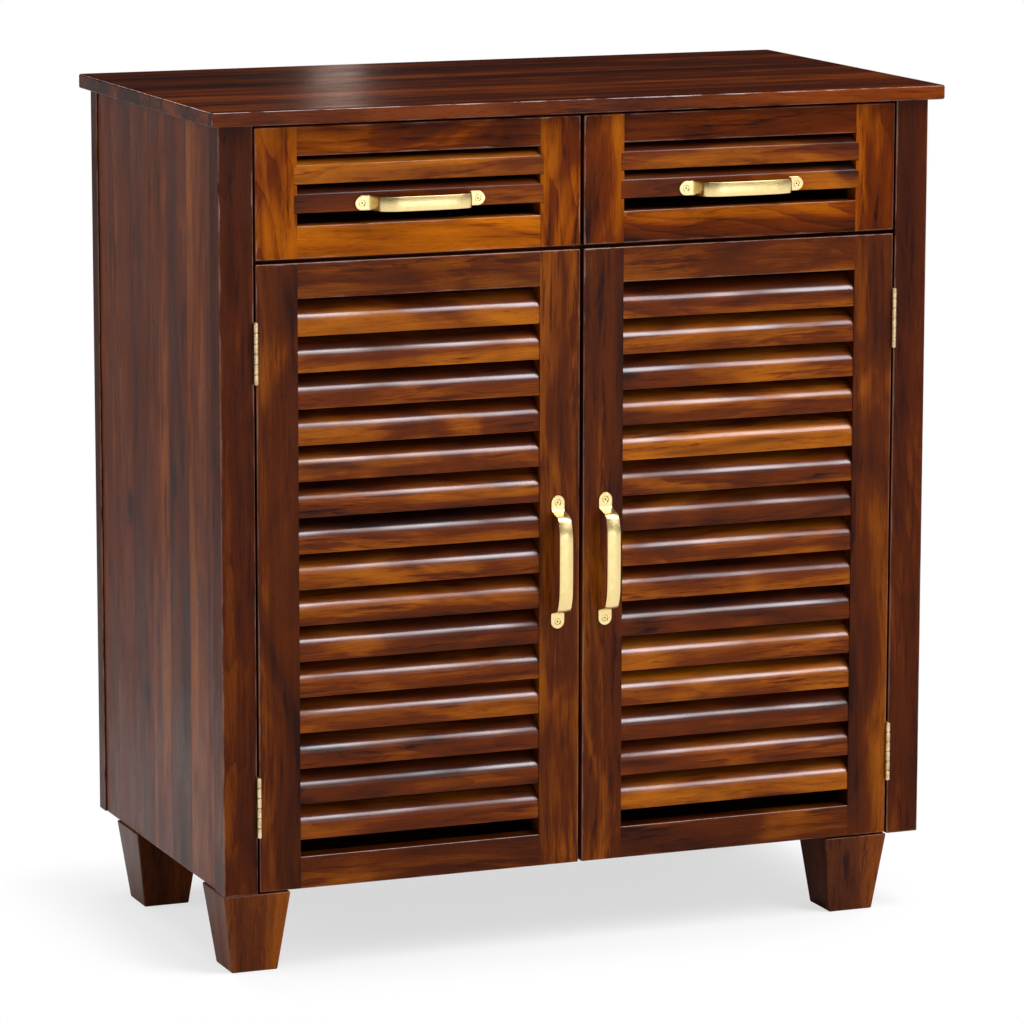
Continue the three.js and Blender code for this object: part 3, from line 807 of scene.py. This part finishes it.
def slats(kind, side, nodes, places, length, depth, number):
    """Slats whose lower front edges run through the given middles."""
    body, sizes = f"{kind}_{side}", SLAT_KINDS[kind]
    piece = dots(body + "_slats", places, tone=SLAT_TONES[body])
    grow(piece, SLAT_ROW, {"Length": length, "Face": sizes["face"], "Depth": depth, "Round": sizes["round"],
                           "Seed": sizes["seed"] + number, "Finish": FINISH["louvre_wood"]})
    work = bmesh.new()
    work.from_mesh(piece.data)
    bmesh.ops.remove_doubles(work, verts=work.verts, dist=SLAT_WELD)
    bmesh.ops.recalc_face_normals(work, faces=work.faces)
    smooth(close(work, piece.data), CURVED_SHARP)
    # Gloss and painted shade lie on the upper faces alone; the undersides and backs stay plain wood
    slope = np.array((0, -math.sin(SLAT_TILT), math.cos(SLAT_TILT)))
    upper = read(piece.data.vertex_normals, "vector", 3) @ slope > 0
    back = points_of(piece.data)[:, 1] - places[0][1]
    gloss = np.clip(back / SLAT_GLOSS_ONSET, 0, 1) * sizes["gloss"]
    shade = np.clip((back - sizes["round"]) / (depth - sizes["round"]), 0, 1) * sizes["shade"]
    give(piece.data, "crown", gloss * upper)
    give(piece.data, "depth", shade * upper)
    return dress(piece, body, "louvre_wood", *nodes)


# Tones of the slats from the bottom up, as shares from dark to honey
SLAT_TONES = {
    "door_left": [0.56, 0.3, 0.44, 0.6, 0.5, 0.4, 0.48, 0.6, 0.46, 0.34, 0.48, 0.5, 0.36, 0.52, 0.56],
    "door_right": [0.62, 0.64, 0.36, 0.66, 0.62, 0.42, 0.52, 0.48, 0.4, 0.6, 0.7, 0.36, 0.56, 0.52, 0.54],
    "drawer_left": [0.46, 0.53],
    "drawer_right": [0.3, 0.32],
}
for number, side in enumerate(("left", "right")):
    node = f"door_{side}_louvres"
    low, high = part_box(node)
    stiles = [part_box(f"door_{side}_{name}") for name in ("hinge_stile", "lock_stile")]
    length = max(s[0].x for s in stiles) - min(s[1].x for s in stiles) + 2 * SLAT_HOUSING
    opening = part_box(f"door_{side}_top_rail")[0].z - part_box(f"door_{side}_bottom_rail")[1].z
    pitch = (opening + SLAT_KINDS["door"]["face"]) / (DOOR_SLAT_COUNT + 1)
    middle = (low.x + high.x) / 2
    places = [(middle, low.y, low.z + i * pitch) for i in range(DOOR_SLAT_COUNT)]
    slats("door", side, [node], places, length, high.y - low.y, number)
    nodes = [f"drawer_{side}_slat_{i + 1}" for i in range(DRAWER_SLAT_COUNT)]
    boxes = [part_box(n) for n in nodes]
    low, high = boxes[0]
    places = [((b[0].x + b[1].x) / 2, b[0].y, b[0].z) for b in boxes]
    slats("drawer", side, nodes, places, high.x - low.x, high.y - low.y, number)


# Handles

ROUND_END = HANDLE_WIDTH / 2
SCREW_REACH = HANDLE_LENGTH / 2 - ROUND_END


def rounded_path(corners, radii):
    """A path of (s, h) corners with its inner corners rounded."""
    path = [Vector(corners[0])]
    for i in range(1, len(corners) - 1):
        corner = Vector(corners[i])
        back = (Vector(corners[i - 1]) - corner).normalized()
        ahead = (Vector(corners[i + 1]) - corner).normalized()
        turn = math.pi - back.angle(ahead)
        length = radii[i - 1] * math.tan(turn / 2)
        start, end = corner + back * length, corner + ahead * length
        for k in range(BEND_STEPS + 1):
            t = k / BEND_STEPS
            path.append(start * (1 - t) ** 2 + corner * 2 * t * (1 - t) + end * t * t)
    path.append(Vector(corners[-1]))
    return path


def strap_section(half_width, crown):
    """Outline across the strap: flat behind, a little round in front, with eased arrises."""
    half = HANDLE_THICK / 2
    radius = min(STRAP_ROUND, half_width * 0.9)
    flat = half_width - radius
    outline = []
    for sx, sy, start in ((1, 1, 0), (-1, 1, 90), (-1, -1, 180), (1, -1, 270)):
        x, y = sx * flat, sy * (half - radius) - (crown if sy > 0 else 0)
        for k in range(STRAP_ROUND_STEPS + 1):
            angle = radians(start + 90 * k / STRAP_ROUND_STEPS)
            outline.append((x + radius * math.cos(angle), y + radius * math.sin(angle)))
        if start == 0:
            shares = [1 - 2 * k / CROWN_STEPS for k in range(1, CROWN_STEPS)]
            outline += [(flat * share, half - crown * share * share) for share in shares]
    return outline


def strap_path():
    """The middle line of the strap, from tip to tip."""
    end = HANDLE_LENGTH / 2
    low, high = HANDLE_THICK / 2, HANDLE_OUT - HANDLE_THICK / 2
    rise = high - GRIP_BOW
    riser = -end + HANDLE_TAB
    half = [(-end, low), (riser, low), (riser + RISER_RUN, rise - SHOULDER_DROP),
            (riser + RISER_RUN + SHOULDER_RUN, rise)]
    corners = half + [(0, high)] + [(-s, h) for s, h in reversed(half)]
    bends = [TAB_BEND, KNEE_BEND, SHOULDER_BEND]
    tip = [ROUND_END * (1 - math.cos(radians(a))) for a in TIP_ANGLES]
    first, last = [Vector((-end + d, low)) for d in tip], [Vector((end - d, low)) for d in reversed(tip)]
    return first + rounded_path(corners, bends + [GRIP_BEND] + bends[::-1])[1:-1] + last


def strap_shape():
    """The bent strap without its screw holes."""
    end, path = HANDLE_LENGTH / 2, strap_path()
    work = bmesh.new()
    rings = []
    for i, spot in enumerate(path):
        before, after = path[max(i - 1, 0)], path[min(i + 1, len(path) - 1)]
        ahead = (after - before).normalized()
        up = Vector((-ahead.y, ahead.x))
        from_tip = min(spot.x + end, end - spot.x)
        inside = max(ROUND_END - from_tip, 0.0)
        half_width = math.sqrt(max(ROUND_END ** 2 - inside ** 2, 1e-9))
        # The tabs are flat, so that the screw heads sit evenly, and the strap rounds where it rises
        crown = STRAP_CROWN * min(max((from_tip - HANDLE_TAB) / RISER_RUN, 0.0), 1.0)
        section = [(spot + up * height, across) for across, height in strap_section(half_width, crown)]
        rings.append([work.verts.new((place.x, across, place.y)) for place, across in section])
    count = len(rings[0])
    for first, second in zip(rings, rings[1:]):
        for k in range(count):
            work.faces.new((first[k], first[(k + 1) % count], second[(k + 1) % count], second[k]))
    work.faces.new(list(reversed(rings[0])))
    work.faces.new(rings[-1])
    bmesh.ops.recalc_face_normals(work, faces=work.faces)
    return close(work, bpy.data.meshes.new("strap"))


def sink_shape():
    """What the two screw holes with their countersinks take away."""
    work = bmesh.new()
    reach = 2 * (SINK_RADIUS - SCREW_BORE)
    bore = SCREW_BORE * 0.999
    for side in (-1, 1):
        place = Matrix.Translation((side * SCREW_REACH, 0, 0))
        front = place @ Matrix.Translation((0, 0, HANDLE_THICK))
        for first, last, depth, spot in ((SCREW_BORE, SCREW_BORE + reach, reach, front),
                                         (bore, bore, 4 * HANDLE_THICK, place)):
            bmesh.ops.create_cone(work, cap_ends=True, segments=TURNED_STEPS, radius1=first, radius2=last,
                                  depth=depth, matrix=spot)
    return close(work, bpy.data.meshes.new("sink"))


def strap_handle():
    """The handle in its own frame: x along it, y across it, z out from the wood."""
    strap = link("strap", strap_shape())
    tool = link("sink", sink_shape())
    change(strap, "BOOLEAN", object=tool, operation="DIFFERENCE", solver="EXACT", use_self=True)
    sink, made = tool.data, strap.data
    bpy.data.objects.remove(tool)
    bpy.data.meshes.remove(sink)
    bpy.data.objects.remove(strap)
    smooth(made, CURVED_SHARP)
    # Painted shade darkens the countersinks towards the screws
    places = points_of(made)
    from_screw = np.hypot(np.abs(places[:, 0]) - SCREW_REACH, places[:, 1])
    give(made, "recess_shade", (from_screw < (SINK_RADIUS + SCREW_BORE) / 2) * 1.0)
    return made


STRAP = strap_handle()
SCREW_PLACES = {}


def fit_handle(node, body, upright):
    low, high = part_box(node)
    centre = Vector(((low.x + high.x) / 2, high.y, (low.z + high.z) / 2))
    along = Vector((0, 0, 1)) if upright else Vector((1, 0, 0))
    out = Vector((0, -1, 0))
    turn = Matrix((along, out.cross(along), out)).transposed().to_4x4()
    mesh = STRAP.copy()
    places = points_of(mesh)
    mesh.transform(Matrix.Translation(centre) @ turn)
    give(mesh, "grain", places + own_shift(node))
    dress(link(node + "_shown", mesh), body, "handle_brass", node)
    for side in (-1, 1):
        head = centre + along * side * SCREW_REACH + out * (HANDLE_THICK - SCREW_SUNK)
        SCREW_PLACES.setdefault((body, "handle"), []).append((head, out, 1.0))


for side in ("left", "right"):
    fit_handle(f"door_{side}_handle", "door_" + side, True)
    fit_handle(f"drawer_{side}_handle", "drawer_" + side, False)


# Hinges

def turned(work, profile, x, y):
    """A turned shape about an upright line; a profile that starts off the line leaves a bore."""
    rings = []
    angles = [2 * math.pi * k / TURNED_STEPS for k in range(TURNED_STEPS)]
    for radius, height in profile:
        if radius == 0:
            rings.append([work.verts.new((x, y, height))])
            continue
        rings.append([work.verts.new((x + radius * math.cos(a), y + radius * math.sin(a), height))
                      for a in angles])
    if profile[0][0] > 0:
        rings.append(rings[0])
    for first, second in zip(rings, rings[1:]):
        for k in range(TURNED_STEPS):
            after = (k + 1) % TURNED_STEPS
            corners = [first[k % len(first)], first[after % len(first)],
                       second[after % len(second)], second[k % len(second)]]
            work.faces.new(list(dict.fromkeys(corners)))


def plate(work, low, high, ease=0.0):
    made = bmesh.ops.create_cube(work, size=1.0)
    for v in made["verts"]:
        v.co = Vector([high[i] if v.co[i] > 0 else low[i] for i in range(3)])
    if ease:
        edges = list(dict.fromkeys(e for v in made["verts"] for e in v.link_edges))
        bmesh.ops.bevel(work, geom=edges, offset=ease, segments=2, profile=0.5, affect="EDGES",
                        clamp_overlap=True)


def hinge_leaf(node, body, side, axis_x, moving):
    """One leaf: its plate in the gap, every second knuckle and, on the case, the pin."""
    low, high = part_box(node)
    height = high.z - low.z
    axis_y = low.y + BARREL_RADIUS
    door_edge = abs(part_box("door_left_hinge_stile")[0].x)
    post_edge = abs(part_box("front_post_left")[1].x)
    face = side * (door_edge if moving else post_edge)
    inner = face + side * (LEAF_THICK if moving else -LEAF_THICK)
    x0, x1 = min(face, inner), max(face, inner)
    plate_front = axis_y + BARREL_RADIUS + KNUCKLE_GAP
    work = bmesh.new()
    plate(work, (x0, plate_front, low.z), (x1, high.y, high.z), LEAF_EASE)
    share = height / KNUCKLES
    bore = PIN_RADIUS + PIN_PLAY if moving else 0
    bevelled = BARREL_RADIUS - BARREL_CHAMFER
    for i in range(1 if moving else 0, KNUCKLES, 2):
        bottom = low.z + i * share + KNUCKLE_GAP / 2
        top = bottom + share - KNUCKLE_GAP
        barrel = [(bore, bottom), (bevelled, bottom), (BARREL_RADIUS, bottom + BARREL_CHAMFER),
                  (BARREL_RADIUS, top - BARREL_CHAMFER), (bevelled, top), (bore, top)]
        turned(work, barrel, axis_x, axis_y)
        plate(work, (x0, axis_y + BARREL_RADIUS / 2, bottom), (x1, plate_front + KNUCKLE_GAP, top))
    if not moving:
        shoulder, ease = PIN_RADIUS * 0.8, PIN_DOME * 0.6
        pin = [(0, low.z - PIN_DOME), (shoulder, low.z - ease), (PIN_RADIUS, low.z + PIN_DOME),
               (PIN_RADIUS, high.z - PIN_DOME), (shoulder, high.z + ease), (0, high.z + PIN_DOME)]
        turned(work, pin, axis_x, axis_y)
    bmesh.ops.recalc_face_normals(work, faces=work.faces)
    mesh = close(work, bpy.data.meshes.new(node))
    smooth(mesh, METAL_SHARP)
    give(mesh, "grain", points_of(mesh)[:, [2, 1, 0]] + own_shift(node))
    dress(link(node + "_shown", mesh), body, "hinge_brass", node)
    out = Vector((side if moving else -side, 0, 0))
    for i in range(HINGE_SCREWS):
        head = Vector((inner, (plate_front + high.y) / 2, low.z + height * (i + 0.5) / HINGE_SCREWS))
        head += out * HINGE_SCREW_PROUD
        SCREW_PLACES.setdefault((body, "hinge"), []).append((head, out, HINGE_SCREW_SHARE))


for side, word in ((-1, "left"), (1, "right")):
    for row in ("lower", "upper"):
        door_leaf = f"door_{word}_hinge_leaf_{row}"
        low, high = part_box(door_leaf)
        axis_x = low.x + BARREL_RADIUS if side < 0 else high.x - BARREL_RADIUS
        hinge_leaf(door_leaf, "door_" + word, side, axis_x, True)
        hinge_leaf(f"case_hinge_leaf_{word}_{row}", "case", side, axis_x, False)


# Screws

def make_screws():
    """Countersunk heads with a cross slot, one on each point, facing along the point's own direction."""
    group, net, given, out = node_group("countersunk screws", "GeometryNodeTree", {
        "Geometry": "Geometry", "Head radius": SCREW_HEAD, "Head depth": SCREW_DEPTH,
        "Slot width": SCREW_SLOT, "Slot length": SCREW_SLOT_LENGTH, "Slot depth": SCREW_SLOT_DEPTH,
        "Seed": 4, "Finish": "Material",
    }, {"Geometry": "Geometry"})
    cone = {"Vertices": TURNED_STEPS, "Radius Top": given["Head radius"],
            "Radius Bottom": net.times(given["Head radius"], 0.5), "Depth": given["Head depth"]}
    head = net.made("GeometryNodeMeshCone", cone)
    below = net.join(0.0, 0.0, net.times(given["Head depth"], -1.0))
    lowered = net.made("GeometryNodeTransform", {"Geometry": head, "Translation": below})
    twice = net.times(given["Slot depth"], 2.0)
    slotted = net.node("GeometryNodeMeshBoolean", {0: lowered}, operation="DIFFERENCE", solver="EXACT")
    for first, second in (("Slot length", "Slot width"), ("Slot width", "Slot length")):
        size = net.join(given[first], given[second], twice)
        net.feed(slotted.inputs[1], net.made("GeometryNodeMeshCube", {"Size": size}))
    facing = {"Vector": named(net, "facing", "FLOAT_VECTOR")}
    aimed = net.made("FunctionNodeAlignRotationToVector", facing, axis="Z")
    draw = net.node("FunctionNodeRandomValue", {2: 0.0, 3: math.pi, "Seed": given["Seed"]},
                    data_type="FLOAT").outputs[1]
    twist = net.made("FunctionNodeAxisAngleToRotation", {"Angle": draw})
    way = net.made("FunctionNodeRotateRotation", {0: aimed, 1: twist}, rotation_space="LOCAL")
    values = {"Points": given["Geometry"], "Instance": slotted.outputs[0], "Rotation": way,
              "Scale": named(net, "size", "FLOAT")}
    placed = net.made("GeometryNodeInstanceOnPoints", values)
    place = net.made("GeometryNodeInputPosition")
    net.feed(out[0], finished(net, placed, place, given["Finish"]))
    return group


SCREWS = make_screws()
for (body, kind), heads in SCREW_PLACES.items():
    slot = kind + "_brass"
    spots, ways, sizes = zip(*heads)
    piece = dots(f"{body}_{kind}_screws", spots, facing=ways, size=sizes)
    grow(piece, SCREWS, {"Finish": FINISH[slot]})
    smooth(piece.data, METAL_SHARP)
    # Painted shade at the bottoms of the cross slots
    places = points_of(piece.data)
    dark = np.full(len(places), 1.0)
    for centre, facing, size in heads:
        offset = (places - np.array(centre)) / size
        height = offset @ np.array(facing)
        aside = np.linalg.norm(offset - np.outer(height, np.array(facing)), axis=1)
        near = aside < SLOT_CORNER
        dark[near] = (np.abs(height[near]) > SCREW_SLOT_DEPTH / 2) * 1.0
        dark[~near & (aside <= SCREW_HEAD * 1.1)] = 0.0
    give(piece.data, "recess_shade", dark)
    dress(piece, body, slot)


# Floor, lights and camera

FLOOR_HALF = 12.0
FLOOR_COLOUR = (0.78, 0.78, 0.78, 1)
WHITE = (1.0, 1.0, 1.0, 1)
FLOOR_GLOW = 0.66
FLOOR_BEHIND = (0.3, 2.6)
FLOOR_BEHIND_DIM = 0.35
FOOTPRINT = (0.4, 0.21)
SHADOW_REACH = 0.14
HORIZON = (-0.03, 0.0)
OVERHEAD = 0.02
AMBIENT = (0.22, 0.22, 0.22, 1)

# Place, aim, width and height, power in watts, tint if any, and False where the lacquer doesn't mirror it
LAMPS = {
    "key softbox": ((1.21, -1.63, 3.1), (0, 0, 0.5), (1.3, 3.2), 110, (0.95, 0.94, 1.0)),
    "front fill": ((0.9, -3.6, 1.4), (0, 0, 0.4), (1.5, 1.0), 13, (1, 1, 1), False),
    "front glow": ((0.9, -3.6, 0.5), (0, 0, 0.45), (1.5, 0.7), 9),
    "left softbox": ((-3.0, 0.4, 2.0), (0, 0, 0.5), (1.4, 1.6), 30, (1, 1, 1), False),
    "back fill": ((-0.4, 2.4, 3.6), (0, 0, 0.4), (2.0, 1.4), 50),
    "right fill": ((2.9, 1.2, 2.0), (0, 0, 0.4), (2.0, 2.0), 32),
    "back strip": ((1.11, 3.6, 1.3), (0, 0, 0.8), (0.08, 1.2), 0.24, (1.0, 0.72, 0.6)),
    "edge light": ((-0.76, 3.25, 2.2), (-0.41, 0, 0.9), (0.7, 0.5), 4.5, (1.0, 0.82, 0.76)),
}
CAMERA_PLACE = (-2.0490, -5.1099, 1.4254)
CAMERA_DOWN = 10.25
CAMERA_ROLL = -0.08
CAMERA_TURN = -21.87
CAMERA_LENS = 181.1


def make_floor():
    mesh = bpy.data.meshes.new("studio_floor")
    corners = [(x * FLOOR_HALF, y * FLOOR_HALF, 0) for x, y in ((-1, -1), (1, -1), (1, 1), (-1, 1))]
    mesh.from_pydata(corners, [], [(0, 1, 2, 3)])
    floor = link("studio_floor", mesh)
    material, net, shader = new_material("white studio floor")
    from_camera, mirrored = net.rays()
    x, y, z = net.split(net.node("ShaderNodeTexCoord").outputs["Object"])
    # Mirrors show the white floor too, but it dims behind the cabinet, so that the sides keep their depth
    seen = net.maths("MAXIMUM", from_camera, mirrored)
    behind = net.span(y, *FLOOR_BEHIND, 1.0, FLOOR_BEHIND_DIM, smooth=True)
    dim = net.minus(1.0, net.times(mirrored, net.minus(1.0, behind)))
    white = net.blend(seen, FLOOR_COLOUR, WHITE)
    net.feed(shader.inputs["Base Color"], net.blend(1.0, white, net.join(dim, dim, dim), kind="MULTIPLY"))
    shader.inputs["Roughness"].default_value = 1.0
    shader.inputs["Specular IOR Level"].default_value = 0.0
    # Away from the cabinet the floor fades into the white background
    beside = [net.maths("MAXIMUM", net.minus(net.maths("ABSOLUTE", way), half), 0.0)
              for way, half in zip((x, y), FOOTPRINT)]
    away = net.vector("LENGTH", net.join(*beside, 0.0))
    far = net.span(away, 0.0, SHADOW_REACH, net.times(from_camera, FLOOR_GLOW), 1.0, smooth=True)
    glow = net.made("ShaderNodeEmission", {"Color": WHITE, "Strength": dim})
    mixed = net.made("ShaderNodeMixShader", {0: net.times(far, seen), 1: shader.outputs[0], 2: glow})
    end = next(n for n in net.tree.nodes if n.type == "OUTPUT_MATERIAL")
    net.feed(end.inputs["Surface"], mixed)
    mesh.materials.append(material)
    floor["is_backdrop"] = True


def make_world():
    """White where the camera or a mirror looks level or down, a dim studio overhead, and an even fill."""
    world = bpy.data.worlds.new("studio")
    bpy.context.scene.world = world
    world.use_nodes = True
    net = Net(world.node_tree)
    from_camera, mirrored = net.rays()
    height = net.split(net.node("ShaderNodeTexCoord").outputs["Generated"])[2]
    overhead = net.span(height, *HORIZON, 1.0, OVERHEAD, smooth=True)
    strength = net.blend(mirrored, AMBIENT, net.join(overhead, overhead, overhead))
    strength = net.blend(from_camera, strength, WHITE)
    background = net.made("ShaderNodeBackground", {"Color": strength, "Strength": 1.0})
    net.node("ShaderNodeOutputWorld", {"Surface": background})


def lamp(name, place, aim, size, power, tint=(1, 1, 1), mirrored=True):
    data = bpy.data.lights.new(name, "AREA")
    data.shape = "RECTANGLE"
    data.size, data.size_y = size
    data.energy = power
    data.color = tint
    made = bpy.data.objects.new(name, data)
    bpy.context.scene.collection.objects.link(made)
    made.location = place
    made.rotation_euler = (Vector(aim) - Vector(place)).to_track_quat("-Z", "Y").to_euler()
    made.visible_camera = False
    made.visible_glossy = mirrored


make_floor()
make_world()
for name, settings in LAMPS.items():
    lamp(name, *settings)

camera_data = bpy.data.cameras.new("camera")
camera_data.sensor_width = 36.0
camera_data.lens = CAMERA_LENS
camera_data.clip_end = 100.0
camera = bpy.data.objects.new("camera", camera_data)
bpy.context.scene.collection.objects.link(camera)
camera.location = CAMERA_PLACE
camera.rotation_euler = (radians(90 - CAMERA_DOWN), radians(CAMERA_ROLL), radians(CAMERA_TURN))
bpy.context.scene.camera = camera
bpy.context.scene.view_settings.view_transform = "Standard"

low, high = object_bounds()
